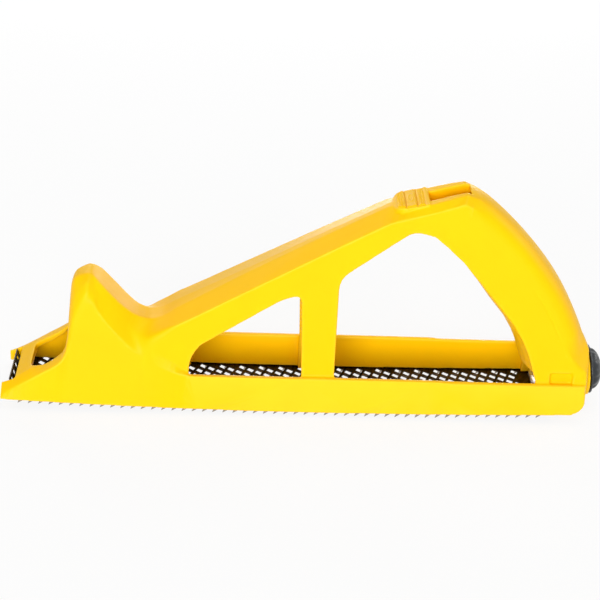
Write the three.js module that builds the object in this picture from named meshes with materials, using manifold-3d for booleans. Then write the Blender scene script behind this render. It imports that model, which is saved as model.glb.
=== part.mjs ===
// Rasp plane: one moulded body, a perforated blade and the screw gear that pulls the blade tight.
// Millimetres. X runs from the nose to the heel, Y across, Z up. The blade's teeth stand on Z = 0.
import * as THREE from 'three';
import { mergeVertices } from 'three/addons/utils/BufferGeometryUtils.js';
import Module from 'manifold-3d';

const wasm = await Module();
wasm.setup();
const { lerp, smoothstep, clamp, degToRad } = THREE.MathUtils;

// Body
const bodyLength = 278.5;
const bodyWidth = 44;
const bodyHeight = 108.6;
const railHeight = 18.2;
const sillWidth = 2.5;
const wallThickness = 2.8;
const railThickness = 2.6;
const roofThickness = 3.4;
const wallDraft = 0.077;
const flankDraft = 0.15;
const heelHeadroom = 6.5;
const rimThickness = 2.7;
const windowRound = 4;
const frontCamber = 3000;
const rearCamber = 4200;
const bridgeThickness = 4.6;
const noseSlot = 29;
const mouthWidth = 26;
const heelWall = 9;
const heelBulge = 56;
const heelCorner = 7;
const heelLean = 4.75;
const webCrown = 4.2;
const pocketLength = 10.4;
const pocketDepth = 1.6;

// Top of the handle
const padLength = 15.5;
const padWidth = 20;
const padRise = 0.6;
const padLip = 0.3;
const padGroove = 0.7;
const troughLength = 18.5;
const troughWidth = 9.8;
const troughDepth = 8;

// Blade
const bladeThickness = 0.5;
const bladeRecess = 0.9;
const bladeClearance = 0.3;
const holePitch = 9.6;
const rowSpacing = 2.238;
const rowShift = 0.411;
const edgeMargin = 1.4;
const holeLength = 3.9;
const holeNear = 1.95;
const holeFar = 2.6;
const holeSlant = 0.75;
const toothSkew = 1.5;
const toothDrop = 0.6;
const edgeToothPitch = 4.8;
const edgeToothReach = 2.1;
const frontLipHeight = 6.4;
const frontLipLean = 14;
const rearTabHeight = 14.5;
const rearTabWidth = 27;
const notchWidth = 8.4;

// Screw gear
const screwDiameter = 5;
const screwClearance = 0.35;
const screwHeadDiameter = 8;
const screwHeadHeight = 1.8;
const screwSeatHeight = 15.6;
const screwReach = 21.6;
const screwEndCover = 2.2;
const hookThickness = 2;
const hookWidth = 17;
const hookRise = 5.5;
const hookToe = 3;
const knobDiameter = 23.7;
const knobHeight = 6.8;
const knobFlange = 1.6;
const knobScallops = 12;
const scallopWidth = 4.4;
const nutFlats = 8;
const nutThickness = 4;
const threadGap = 0.1;
const seatGap = 0.3;

// The outline was drawn at these sizes; a change of size stretches it
const stretchX = bodyLength / 278.5;
const stretchY = bodyWidth / 44;
const stretchZ = bodyHeight / 108.6;
const halfWidth = bodyWidth / 2;
const noseX = -138.2 * stretchX;
const heelX = noseX + bodyLength;
const soleMiddleX = -5 * stretchX;
const soleLowZ = 0.9;
const railTopZ = soleLowZ + railHeight;
const sillY = halfWidth - sillWidth;
const bladeHalf = halfWidth - 1.35;
const bridgeFrontX = -132 * stretchX;
const plateFrontX = bridgeFrontX + 0.4;
const bladeEndX = heelX - heelWall - 9.8;
const holesFrontX = plateFrontX + 3.2;
const holesRearX = bladeEndX - 9;
const latticeX = -44.4 * stretchX;
const levelEndX = 56 * stretchX;
const rowCount = Math.floor((2 * (bladeHalf - edgeMargin) - holeNear - holeFar) / rowSpacing) + 1;
const hookStart = -screwReach - hookThickness;

// Smooth curve through a few points [x, value], flat beyond its ends
function curve(scaleX, scaleV, ...points) {
  const xs = points.map((p) => p[0] * scaleX);
  const vs = points.map((p) => p[1] * scaleV);
  const slopes = xs.map((x, i) => {
    if (i === 0 || i === xs.length - 1) return 0;
    const before = (vs[i] - vs[i - 1]) / (xs[i] - xs[i - 1]);
    const after = (vs[i + 1] - vs[i]) / (xs[i + 1] - xs[i]);
    return before * after <= 0 ? 0 : (2 * before * after) / (before + after);
  });
  return (x) => {
    if (x <= xs[0]) return vs[0];
    const i = xs.findIndex((end) => x <= end);
    if (i < 0) return vs[vs.length - 1];
    const span = xs[i] - xs[i - 1];
    const t = (x - xs[i - 1]) / span;
    const rise = vs[i] - vs[i - 1];
    const first = i === 1 ? rise / span : slopes[i - 1];
    const last = i === xs.length - 1 ? rise / span : slopes[i];
    const a = first * span - rise;
    const b = rise - last * span;
    return vs[i - 1] + t * rise + t * (1 - t) * ((1 - t) * a + t * b);
  };
}

function soleZ(x) {
  const away = x - soleMiddleX;
  const radius = away < 0 ? frontCamber : rearCamber;
  return soleLowZ + (away * away) / (2 * radius);
}

// Solids from points and faces
function solid(positions, indices) {
  return new wasm.Manifold(new wasm.Mesh({
    numProp: 3,
    vertProperties: new Float32Array(positions.flat()),
    triVerts: new Uint32Array(indices),
  }));
}

function fromGeometry(geometry) {
  const bare = geometry.clone();
  bare.deleteAttribute('normal');
  bare.deleteAttribute('uv');
  const merged = mergeVertices(bare, 1e-4);
  return new wasm.Manifold(new wasm.Mesh({
    numProp: 3,
    vertProperties: new Float32Array(merged.attributes.position.array),
    triVerts: new Uint32Array(merged.index.array),
  }));
}

// Rings of matching points, closed by a cap at each end
function loft(rings, capPlane) {
  const count = rings[0].length;
  const indices = [];
  for (let r = 0; r + 1 < rings.length; r += 1) {
    for (let i = 0; i < count; i += 1) {
      const a = r * count + i;
      const b = r * count + ((i + 1) % count);
      indices.push(a, b, b + count, a, b + count, a + count);
    }
  }
  const flat = (ring) => ring.map((p) => new THREE.Vector2(p[capPlane[0]], p[capPlane[1]]));
  const lastStart = (rings.length - 1) * count;
  const addCap = (ring, start, forward) => {
    const outline = flat(ring);
    const keep = THREE.ShapeUtils.isClockWise(outline) !== forward;
    for (const [a, b, c] of THREE.ShapeUtils.triangulateShape(outline, [])) {
      indices.push(start + a, start + (keep ? b : c), start + (keep ? c : b));
    }
  };
  addCap(rings[0], 0, false);
  addCap(rings[rings.length - 1], lastStart, true);
  const form = solid(rings.flat(), indices);
  if (form.volume() > 0) return form;
  return solid(rings.flat(), indices.reverse());
}

// Prism with its outline in X and Z, from one Y to another
function sidePrism(outline, fromY, toY) {
  const shape = new THREE.Shape(outline.map(([x, z]) => new THREE.Vector2(x, z)));
  const geometry = new THREE.ExtrudeGeometry(shape, { depth: toY - fromY, bevelEnabled: false });
  geometry.rotateX(Math.PI / 2);
  geometry.translate(0, toY, 0);
  return fromGeometry(geometry);
}

// Prism with its outline in X and Y, from one Z to another
function planPrism(outline, fromZ, toZ) {
  const shape = new THREE.Shape(outline.map(([x, y]) => new THREE.Vector2(x, y)));
  const geometry = new THREE.ExtrudeGeometry(shape, { depth: toZ - fromZ, bevelEnabled: false });
  geometry.translate(0, 0, fromZ);
  return fromGeometry(geometry);
}

function box(x0, x1, y0, y1, z0, z1) {
  const geometry = new THREE.BoxGeometry(x1 - x0, y1 - y0, z1 - z0);
  geometry.translate((x0 + x1) / 2, (y0 + y1) / 2, (z0 + z1) / 2);
  return fromGeometry(geometry);
}

function arcPoints(cx, cy, radius, fromDegrees, toDegrees, steps) {
  const points = [];
  for (let i = 0; i <= steps; i += 1) {
    const angle = degToRad(fromDegrees + ((toDegrees - fromDegrees) * i) / steps);
    points.push([cx + radius * Math.cos(angle), cy + radius * Math.sin(angle)]);
  }
  return points;
}

// An outline whose listed corners are rounded
function rounded(corners, radii, steps = 4) {
  const points = [];
  corners.forEach((corner, i) => {
    const before = new THREE.Vector2(...corners[(i + corners.length - 1) % corners.length]);
    const here = new THREE.Vector2(...corner);
    const after = new THREE.Vector2(...corners[(i + 1) % corners.length]);
    const inward = before.clone().sub(here);
    const outward = after.clone().sub(here);
    const reach = Math.min(radii[i], inward.length() * 0.45, outward.length() * 0.45);
    if (reach < 0.05) {
      points.push(corner);
      return;
    }
    const start = here.clone().add(inward.setLength(reach));
    const end = here.clone().add(outward.setLength(reach));
    const bend = new THREE.QuadraticBezierCurve(start, here, end);
    bend.getPoints(steps).forEach((p) => points.push([p.x, p.y]));
  });
  return points;
}

// Screw line: it leans back with the heel face
const lean = degToRad(heelLean);
const screwDirection = new THREE.Vector3(Math.cos(lean), 0, Math.sin(lean));
const screwSeatZ = soleLowZ + screwSeatHeight;
const screwSeat = new THREE.Vector3(heelX, 0, screwSeatZ);

// Turns a geometry built along +Z from 0 onto the screw line, from a distance behind the seat
function alongScrew(geometry, start) {
  const turn = new THREE.Quaternion().setFromUnitVectors(new THREE.Vector3(0, 0, 1), screwDirection);
  geometry.applyQuaternion(turn);
  const origin = screwSeat.clone().addScaledVector(screwDirection, start);
  geometry.translate(origin.x, origin.y, origin.z);
  return geometry;
}

function turned(profile, segments) {
  const outline = profile.map(([r, z]) => new THREE.Vector2(r, z));
  return new THREE.LatheGeometry(outline, segments).rotateX(Math.PI / 2);
}

function rod(radius, length, segments) {
  return turned([[0, 0], [radius, 0], [radius, length], [0, length]], segments);
}

// Height of the centre line, its flat half-width, and the flank's upper crease, from nose to handle
const topZ = curve(stretchX, stretchZ, [-138.2, 9.3], [-132, 11.7], [-125, 15.9], [-118, 18.6],
  [-111.6, 23.2],
  [-108.5, 27], [-107, 36], [-106, 55], [-104, 60], [-101, 61.8], [-97, 63], [-94.5, 61.6], [-90.3, 57.2],
  [-84.8, 50.9], [-79.2, 45.2], [-75, 42], [-69, 40.2], [-64, 41.4], [-56.7, 46], [-50, 49.8], [35, 97.7],
  [41.4, 100.9], [54.7, 104],
  [65.5, 107.2], [73.6, 109.3]);
const topHalf = curve(stretchX, stretchY, [-138.2, 14.5], [-125, 13.6], [-109, 13], [-107, 9], [-106, 3.2],
  [-104, 4.5], [-97, 5], [-91, 7.8], [-86, 7.9], [-74, 6], [-46, 3.6], [-23, 2.3], [35, 1.8], [41, 2.4],
  [47, 7.5],
  [54, 9.6], [66, 9], [75, 8]);
const crestZ = curve(stretchX, stretchZ, [-138.2, 5.8], [-133.6, 8.4], [-126, 12.9], [-119, 17.4],
  [-109.5, 23.8],
  [-106.5, 28.5], [-104, 36], [-101, 45], [-98, 51.8], [-96, 53.3], [-91.2, 46], [-81.8, 35.3],
  [-77.1, 30.9],
  [-72.4, 26.7], [-67.6, 23.9], [-58.1, 20.6], [-50, 19.3]);
const hornSwell = curve(stretchX, stretchY, [-109, 0.2], [-106, 2], [-104, 2.4], [-101, 2.6], [-98, 2.6],
  [-95.5, 0.6], [-92, 0]);
const roofEdgeZ = curve(stretchX, stretchZ, [-80, 36], [-75, 34], [-71, 34.9], [-65.5, 38.5], [-45.8, 49.4],
  [-40, 52.7], [34, 94], [39, 96.6], [51.6, 100.2], [60, 102.6], [72.1, 106.8]);
const wallFootZ = curve(stretchX, stretchZ, [-72, 31], [-69, 31.2], [-65.3, 29.1], [-58.2, 24.7],
  [-52, 20.4],
  [-47, 19.4]);

// The handle's back, by its stations: foot, ridge point, ridge half-width and crease point
const backFoot = curve(1, stretchX, [0, 72], [1, 77.5], [8, 118], [9, 124], [10, 131], [11, 146]);
const backRidgeX = curve(1, stretchX, [0, 73.6], [1, 79.3], [5, 103.9], [8, 124], [9, 131.4], [10, 139.2],
  [11, 150]);
const backRidgeZ = curve(1, stretchZ, [0, 109.3], [1, 106.8], [2, 102.4], [3, 97.3], [4, 91.6], [5, 85.3],
  [6, 77.9], [7, 69.2], [8, 58.6], [9, 45.4], [10, 30.2], [11, 20.5]);
const backCreaseX = curve(1, stretchX, [0, 72.1], [1, 77.6], [2, 84.3], [5, 100.2], [7, 110.9], [8, 116.4],
  [9, 123.5], [10, 132.5], [11, 148]);
const backCreaseZ = curve(1, stretchZ, [0, 106.8], [1, 103.8], [2, 98.5], [5, 77], [7, 61], [8, 51.3],
  [9, 39.5],
  [10, 27], [11, 20]);
const backHalf = curve(1, stretchY, [0, 8], [3, 7], [7, 6.3], [11, 8]);

function wallY(z) {
  return sillY - wallDraft * (z - railTopZ);
}

// Half a ring from the centre line down to the skirt, then its mirror image
function mirrored(half) {
  const other = half.slice(1).reverse().map(([x, y, z]) => [x, y * -1, z]);
  return [...half, ...other];
}

// In front of the valley the flank runs up to its crest; behind it, a sill and an inset wall grow out of it
function frontRing(x) {
  const top = topZ(x);
  const half = topHalf(x);
  const crest = Math.max(crestZ(x), soleZ(x) + 1.5);
  const crestY = halfWidth - flankDraft * Math.max(crest - 2, 0);
  const nose = smoothstep(x, -113 * stretchX, -106 * stretchX);
  const edgeY = lerp(halfWidth - 2, crestY, nose);
  const swell = hornSwell(x);
  const outward = new THREE.Vector2(top - crest, edgeY - half).setLength(swell);
  const between = (share) => [lerp(half, edgeY, share) + outward.x,
    lerp(top, crest, share) + outward.y];
  return { x, top, half, upper: between(0.35), lower: between(0.7), edge: [edgeY, crest] };
}

function slopeRing(x) {
  const roofZ = roofEdgeZ(x);
  const foot = Math.max(wallFootZ(x), railTopZ);
  const shoulder = Math.max(crestZ(x), railTopZ - 0.3);
  const crestY = halfWidth - flankDraft * Math.max(shoulder - 2, 0);
  const opening = clamp((x / stretchX + 72) / 22, 0, 1);
  return { x, top: topZ(x), half: topHalf(x), upper: [wallY(roofZ), roofZ], lower: [wallY(foot), foot],
    edge: [lerp(crestY, halfWidth, opening), shoulder] };
}

function bodyRing(x) {
  const front = frontRing(x);
  const slope = slopeRing(x);
  const t = smoothstep(x, -80 * stretchX, -67 * stretchX);
  const mix = (a, b) => a.map((value, i) => lerp(value, b[i], t));
  return mirrored([[x, 0, front.top], [x, front.half, front.top], [x, ...mix(front.upper, slope.upper)],
    [x, ...mix(front.lower, slope.lower)], [x, ...mix(front.edge, slope.edge)], [x, halfWidth, soleZ(x)]]);
}

function backRing(s) {
  const foot = backFoot(s);
  const creaseZ = backCreaseZ(s);
  return mirrored([[backRidgeX(s), 0, backRidgeZ(s) + 0.3], [backRidgeX(s), backHalf(s), backRidgeZ(s)],
    [backCreaseX(s), wallY(creaseZ), creaseZ], [foot, sillY, railTopZ], [foot, halfWidth, railTopZ - 0.3],
    [foot, halfWidth, soleZ(foot)]]);
}

const stations = [-138.2, -135.5, -132, -128.5, -125, -121.5, -118, -114.5, -111.6, -109.5, -108, -107,
  -106.4,
  -105.8, -105, -104, -102.5, -101, -99, -97.5, -96, -94.5, -92.5, -90, -87, -84, -81.5, -79, -77, -75,
  -73.5,
  -72, -70.5, -69, -67.5, -66, -64.5, -63, -61, -59, -56.7, -53.5, -50, -45.8, -40, -23, 10, 35, 39, 42,
  45, 48,
  51, 55, 60, 66];
const backStations = [0, 0.5, 1, 1.5, 2, 2.5, 3, 3.5, 4, 4.5, 5, 5.5, 6, 6.5, 7, 7.5, 8, 8.5, 9, 9.5, 10,
  11];

function outerForm() {
  const rings = [...stations.map((x) => bodyRing(x * stretchX)), ...backStations.map(backRing)];
  const form = loft(rings, [1, 2]);
  const rear = arcPoints(heelX - heelBulge, 0, heelBulge, -30, 30, 16);
  const outline = [[noseX - 1, -40], [heelX - 40, -60], ...rear, [heelX - 40, 60], [noseX - 1, 40]];
  const plan = planPrism(outline, -60, 180);
  const leaning = plan.translate([-heelX, 0, -screwSeatZ]).rotate([0, -heelLean, 0])
    .translate([heelX, 0, screwSeatZ]);
  const cornerX = heelX - 3.6 * stretchX;
  const low = soleZ(heelX) - 4;
  const side = sidePrism([[noseX - 5, low - 10], [noseX - 5, 160 * stretchZ], [heelX + 30, 160 * stretchZ],
    [heelX + 30, railTopZ - 3], [cornerX + 0.4, railTopZ - 3],
    ...arcPoints(cornerX - heelCorner, soleZ(heelX) + heelCorner, heelCorner, 0, -75, 6),
    [cornerX - heelCorner - 6, low - 10]].reverse(), -60, 60);
  return form.intersect(leaning).intersect(side);
}

// Space between the side walls: under the roof, down through the sole, and into the heel
function innerSpace() {
  const ring = (x, top, half, edgeY, edgeZ) => {
    const floorZ = -20;
    const innerY = sillY - wallThickness;
    const shoulderZ = Math.min(railTopZ, edgeZ - 0.4);
    return mirrored([[x, 0, top], [x, half, top], [x, edgeY, edgeZ], [x, innerY, shoulderZ],
      [x, innerY, floorZ]]);
  };
  const rings = [];
  for (const station of [-102.8, -101, -99, -97, -94, -90, -86, -82, -78, -74, -71, -68, -64, -60]) {
    const x = station * stretchX;
    const top = topZ(x) - roofThickness * (station < -99 ? 1.6 : 1.25);
    const narrow = station < -101 ? 2.5 : wallThickness;
    const edge = station < -72 ? crestZ(x) : roofEdgeZ(x);
    const outerY = station < -72 ? halfWidth - flankDraft * (edge - 2) : wallY(edge);
    const edgeY = outerY - narrow - (station < -101 ? 2 : 0);
    rings.push(ring(x, top, Math.max(topHalf(x) - 2, 1), edgeY, edge - roofThickness));
  }
  for (const station of [-54, -46, -23, 39, 50]) {
    const x = station * stretchX;
    const edgeY = wallY(roofEdgeZ(x)) - wallThickness;
    rings.push(ring(x, topZ(x) - roofThickness - 0.4, Math.max(topHalf(x) - 1, 0.9), edgeY,
      roofEdgeZ(x) - roofThickness));
  }
  const handleEnd = rings[rings.length - 1].map(([, y, z]) => [heelX - heelWall, y, z]);
  rings.push(handleEnd);
  const heelTop = screwSeatZ + heelHeadroom;
  const mask = sidePrism([[-104 * stretchX, -30], [heelX - heelWall, -30], [heelX - heelWall, heelTop],
    [104 * stretchX, heelTop], [95 * stretchX, 40 * stretchZ], [50 * stretchX, 85 * stretchZ],
    [50 * stretchX, 130 * stretchZ], [-104 * stretchX, 130 * stretchZ]], -60, 60);
  return loft(rings, [1, 2]).intersect(mask);
}

function scaled(points) {
  return points.map(([x, z]) => [x * stretchX, z * stretchZ]);
}

function frontWindow() {
  const foot = railTopZ / stretchZ;
  const corners = scaled([[2.1, foot], [0.6, 60.5], [-8.4, 57.6], [-46.5, 33], [-50.2, 25.5],
    [-50.5, foot]]);
  return sidePrism(rounded(corners, [0.5, windowRound * 1.6, windowRound, windowRound * 1.6, 3, 0.5]),
    -60, 60);
}

// Beside an opening the rails are one thin wall; elsewhere the side walls stand inside them
function railBay(front, back) {
  const half = halfWidth - railThickness;
  return box(front * stretchX, back * stretchX, -half, half, -30, railTopZ + 1);
}

// The hand opening; its rear edge swells towards the hand between the walls
function handOpening() {
  const foot = railTopZ / stretchZ;
  const still = rounded(scaled([[17.4, foot], [17.6, 68.8], [50, 93], [60, 90.5]]),
    [0.5, windowRound * 1.4, windowRound * 1.4, 0]).map(([x, z]) => [x, z, 0]);
  const grip = scaled([[66, 85.8], [74.3, 78.4], [83.1, 68.1], [92, 57.2], [99.5, 48], [104.7, 39.4],
    [107.9, 32.4],
    [110.5, 25], [112.6, foot]]);
  const crowned = grip.map(([x, z], i) => [x, z, Math.min(1, (i + 1) / 4)]);
  const outline = [...still, ...crowned];
  const rings = [-30, -16.5, -12, -6, 0, 6, 12, 16.5, 30].map((station) => {
    const y = station * stretchY;
    const swell = webCrown * Math.max(0, 1 - (station / 16.5) ** 2);
    return outline.map(([x, z, share]) => [x - swell * share, y, z]);
  });
  return loft(rings, [0, 2]);
}

// Under the sole: the recess that takes the blade, and the slot in the nose that its lip comes up through
function bladeRecessCut() {
  const points = [];
  const from = -133 * stretchX;
  const to = bladeEndX + 0.8;
  for (let i = 0; i <= 24; i += 1) {
    const x = lerp(from, to, i / 24);
    points.push([x, soleZ(x) + bladeRecess + bladeClearance]);
  }
  const across = bladeHalf + bladeClearance;
  const seat = sidePrism([...points, [to, -30], [from, -30]].reverse(), -across, across);
  const slot = box(noseX - 5, bridgeFrontX, -noseSlot / 2, noseSlot / 2, -30, 40);
  return seat.add(slot);
}

function mouth() {
  const front = -125 * stretchX;
  const back = -105.4 * stretchX;
  const half = (mouthWidth / 2) * stretchY;
  const corners = [[front, -half + 2.5], [front, half - 2.5], [front + 6, half], [back, half],
    [back, -half],
    [front + 6, -half]];
  const open = planPrism(rounded(corners, [3, 3, 2, 0.5, 0.5, 2]).reverse(), -30, 60);
  const hornFront = box(back - 1, -102 * stretchX, -half, half, -30, 27 * stretchZ);
  const wide = sillY - wallThickness;
  const rimPoints = [-124.6, -118, -111.6, -108.5, -102.6].map((x) => [x * stretchX,
    Math.min(topZ(x * stretchX), 27 * stretchZ) - rimThickness]);
  const under = sidePrism([[front + 0.4, -30], ...rimPoints, [-102.6 * stretchX, -30]].reverse(), -wide,
    wide);
  return open.subtract(box(-106.9 * stretchX, 0, -40, 40, 27 * stretchZ, 90)).add(hornFront).add(under);
}

function bridgeClearance() {
  const front = -133 * stretchX;
  const back = -124.5 * stretchX;
  const half = halfWidth - 5.3;
  const height = soleZ(front) + bladeRecess + bladeClearance;
  return sidePrism([[front, -30], [back, -30], [back, 15.7 * stretchZ - bridgeThickness],
    [front, Math.max(11.5 * stretchZ - bridgeThickness, height)]], -half, half);
}

function padForm() {
  const front = 40.8 * stretchX;
  const back = front + padLength;
  const half = padWidth / 2;
  const reach = Math.min(half * 0.8, padLength * 0.6);
  const corners = [[front, -half], [back, -half], [back, half], [front, half]];
  const plan = planPrism(rounded(corners, [reach * 1.6, 0.6, 0.6, reach * 1.6], 8), -10, 400);
  const bottom = topZ(front) - 6;
  const rise = (x) => topZ(x) + padRise;
  const grooved = [[front, bottom], [back, bottom], [back, rise(back) + padLip],
    [back - 1.4, rise(back - 1.4) + padLip],
    [back - 1.6, rise(back - 1.6) - 0.1]];
  for (const share of [0.66, 0.34]) {
    const x = lerp(front, back, share);
    grooved.push([x + padGroove, rise(x)], [x, rise(x) - padGroove], [x - padGroove, rise(x)]);
  }
  grooved.push([front + 1.5, rise(front + 1.5)], [front, rise(front) - 0.8]);
  return sidePrism(grooved, -half - 1, half + 1).intersect(plan);
}

function trough() {
  const front = 40.8 * stretchX + padLength + 0.8;
  const back = front + troughLength;
  const half = troughWidth / 2;
  return sidePrism([[front, topZ(front) - troughDepth], [back, topZ(back) - troughDepth],
    [back, 160 * stretchZ],
    [front, 160 * stretchZ]], -half, half);
}

function pocket(side) {
  const back = heelX - 10.6 * stretchX;
  const front = back - pocketLength;
  const top = railTopZ + 5.2;
  const outline = rounded([[front, railTopZ - 0.6], [back, railTopZ - 0.6], [back + 0.4, top],
    [front - 0.4, top]],
    [0.6, 0.6, 2, 2]);
  const deep = sillY - pocketDepth;
  return side > 0 ? sidePrism(outline, deep, sillY + 0.6) : sidePrism(outline, -sillY - 0.6, -deep);
}

const clearRadius = screwDiameter / 2 + screwClearance;

function makeBody() {
  const seatFace = fromGeometry(alongScrew(rod(knobDiameter / 2 + 0.6, 9, 40), -9));
  const bore = fromGeometry(alongScrew(rod(clearRadius, heelWall + 30, 24), -heelWall - 20));
  return outerForm()
    .add(seatFace)
    .add(padForm())
    .subtract(innerSpace())
    .subtract(frontWindow())
    .subtract(handOpening())
    .subtract(railBay(-50.5, 2.1))
    .subtract(railBay(17.4, 112.6))
    .subtract(bladeRecessCut())
    .subtract(bridgeClearance())
    .subtract(mouth())
    .subtract(trough())
    .subtract(pocket(1))
    .subtract(pocket(-1))
    .subtract(bore);
}

// The blade's top surface follows the sole
function bladeTop(x) {
  return soleZ(x) + bladeRecess;
}

// Under the hand the edge teeth reach one level, so that the tool stands without rocking
function tipZ(x) {
  const behind = x > soleMiddleX ? 1 - smoothstep(x, levelEndX, levelEndX + 30) : 0;
  return lerp(soleZ(x), soleLowZ, behind) - edgeToothReach;
}

// A flat net of triangles in X and Y, given the sole's curve and the plate's thickness
class Plate {
  constructor() {
    this.points = [];
    this.drops = [];
    this.faces = [];
    this.known = new Map();
  }

  point(x, y, drop = 0) {
    const key = `${x.toFixed(3)},${y.toFixed(3)}`;
    if (!this.known.has(key)) {
      this.known.set(key, this.points.length);
      this.points.push([x, y]);
      this.drops.push(drop);
    }
    return this.known.get(key);
  }

  fill(outline) {
    const flat = outline.map((i) => new THREE.Vector2(...this.points[i]));
    if (THREE.ShapeUtils.isClockWise(flat)) {
      flat.reverse();
      outline.reverse();
    }
    for (const [a, b, c] of THREE.ShapeUtils.triangulateShape(flat, [])) {
      this.faces.push([outline[a], outline[b], outline[c]]);
    }
  }

  solid() {
    const count = this.points.length;
    const positions = [];
    for (const under of [0, bladeThickness]) {
      this.points.forEach(([x, y], i) => positions.push([x, y, bladeTop(x) - this.drops[i] - under]));
    }
    const edges = new Set(this.faces.flatMap(([a, b, c]) => [`${a},${b}`, `${b},${c}`, `${c},${a}`]));
    const indices = this.faces.flatMap(([a, b, c]) => [a, b, c, a + count, c + count, b + count]);
    for (const edge of edges) {
      const [a, b] = edge.split(',').map(Number);
      if (!edges.has(`${b},${a}`)) indices.push(b, a, a + count, b, a + count, b + count);
    }
    return solid(positions, indices);
  }
}

// Slanted holes in staggered rows. Each chain of holes leans across the plate, and the web between two
// chains is one strip; the rear corner of each hole is pushed down as its cutting tooth
function perforatedPlate() {
  const plate = new Plate();
  const edge = bladeHalf;
  const nearestRow = ((rowCount - 1) / 2) * rowSpacing;
  const chainLean = ((1 - 2 * rowShift) * holePitch) / (2 * rowSpacing);
  const chainAt = (m, y) => latticeX + (holePitch * m) / 2 + chainLean * (y - nearestRow);
  const half = holeLength / 2;
  const corners = {
    near: [holeSlant, -holeNear],
    front: [-half, 0.3],
    far: [-holeSlant, holeFar],
    back: [half, toothSkew],
  };
  const corner = (x, y, name) => {
    const [dx, dy] = corners[name];
    return plate.point(x + dx, y + dy, name === 'back' ? toothDrop : 0);
  };
  const limit = (m, y) => {
    const x = chainAt(m, y);
    if (x < plateFrontX) return [plateFrontX, (plateFrontX - chainAt(m, 0)) / chainLean, 'front'];
    if (x > bladeEndX) return [bladeEndX, (bladeEndX - chainAt(m, 0)) / chainLean, 'rear'];
    return [x, y, 'side'];
  };
  const chains = [];
  const first = Math.floor((2 * (plateFrontX - latticeX)) / holePitch) - 2;
  const last = Math.ceil((2 * (bladeEndX - latticeX)) / holePitch) + rowCount;
  for (let m = first; m <= last; m += 1) {
    const left = [];
    const right = [];
    for (let row = rowCount - 1; row >= 0; row -= 1) {
      const x = latticeX + holePitch * ((m - row) / 2 + rowShift * row);
      const y = nearestRow - rowSpacing * row;
      const inside = x - holeLength / 2 > holesFrontX && x + holeLength / 2 < holesRearX;
      if ((m - row) % 2 === 0 && inside) {
        left.push(corner(x, y, 'near'), corner(x, y, 'front'), corner(x, y, 'far'));
        right.push(corner(x, y, 'near'), corner(x, y, 'back'), corner(x, y, 'far'));
      }
    }
    if (left.length) {
      const [startX, startY, startSide] = limit(m, -edge);
      const [endX, endY, endSide] = limit(m, edge);
      const start = plate.point(startX, startY);
      const end = plate.point(endX, endY);
      chains.push({ left, right, start, end, startSide, endSide });
    }
  }
  const frontNear = plate.point(plateFrontX, -edge);
  const frontFar = plate.point(plateFrontX, edge);
  const rearNear = plate.point(bladeEndX, -edge);
  const rearFar = plate.point(bladeEndX, edge);
  const leading = chains[0];
  const opening = [leading.start, ...leading.left, leading.end, frontFar];
  if (leading.startSide !== 'front') opening.push(frontNear);
  plate.fill(opening);
  for (let i = 0; i + 1 < chains.length; i += 1) {
    const a = chains[i];
    const b = chains[i + 1];
    const outline = [a.start, ...a.right, a.end];
    if (a.endSide === 'side' && b.endSide === 'rear') outline.push(rearFar);
    outline.push(b.end, ...[...b.left].reverse(), b.start);
    if (a.startSide === 'front' && b.startSide === 'side') outline.push(frontNear);
    plate.fill(outline);
  }
  const trailing = chains[chains.length - 1];
  const closing = [trailing.start, ...trailing.right, trailing.end];
  if (trailing.endSide !== 'rear') closing.push(rearFar);
  closing.push(rearNear);
  plate.fill(closing);
  return plate.solid();
}

// Turned-down edge with saw teeth raked towards the nose
function edgeStripForm(side) {
  const outline = [];
  const root = 0.35;
  const firstTip = plateFrontX + 1.3;
  const count = Math.floor((bladeEndX - 2.4 - firstTip) / edgeToothPitch) + 1;
  outline.push([plateFrontX + 0.1, soleZ(plateFrontX) + root]);
  for (let i = 0; i < count; i += 1) {
    const tip = firstTip + i * edgeToothPitch;
    outline.push([tip + 0.9, soleZ(tip) + root], [tip, tipZ(tip)], [tip + 4, soleZ(tip + 4) + root]);
  }
  outline.push([bladeEndX - 0.1, soleZ(bladeEndX) + root]);
  for (let i = 0; i <= 20; i += 1) {
    const x = lerp(bladeEndX - 0.1, plateFrontX + 0.1, i / 20);
    outline.push([x, bladeTop(x) - bladeThickness * 0.4]);
  }
  const inner = bladeHalf - 0.1 - bladeThickness;
  const outer = bladeHalf - 0.1;
  return side > 0 ? sidePrism(outline, inner, outer) : sidePrism(outline, -outer, -inner);
}

// Front end, narrowed to pass between the nose's cheeks and turned up before the bridge
function frontLip() {
  const base = bladeTop(plateFrontX);
  const turnX = bridgeFrontX - 0.9;
  const slant = degToRad(frontLipLean);
  const reach = [-Math.sin(slant), Math.cos(slant)];
  const thin = bladeThickness;
  const inside = [turnX + reach[0] * frontLipHeight, base + reach[1] * frontLipHeight];
  const outside = [inside[0] - thin * reach[1], inside[1] + thin * reach[0]];
  const under = base - thin;
  const profile = [[plateFrontX + 2.5, bladeTop(plateFrontX + 2.5) - thin * 0.3],
    [turnX + 0.6, base - 0.06],
    [turnX, base + 0.5], inside, outside, [turnX - thin, base + 0.4], [turnX - 0.2, under - 0.02],
    [plateFrontX + 2.5, bladeTop(plateFrontX + 2.5) - thin * 0.8]];
  const half = noseSlot / 2 - 0.6;
  const lip = sidePrism(profile.reverse(), -half, half);
  const window = (y) => box(turnX - 8, turnX + 3, y - 1.5, y + 1.5, base + 2.2,
    base + frontLipHeight - 1.6);
  return [-10, -3.4, 3.4, 10].reduce((form, y) => form.subtract(window((y * half) / 14)), lip);
}

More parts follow.
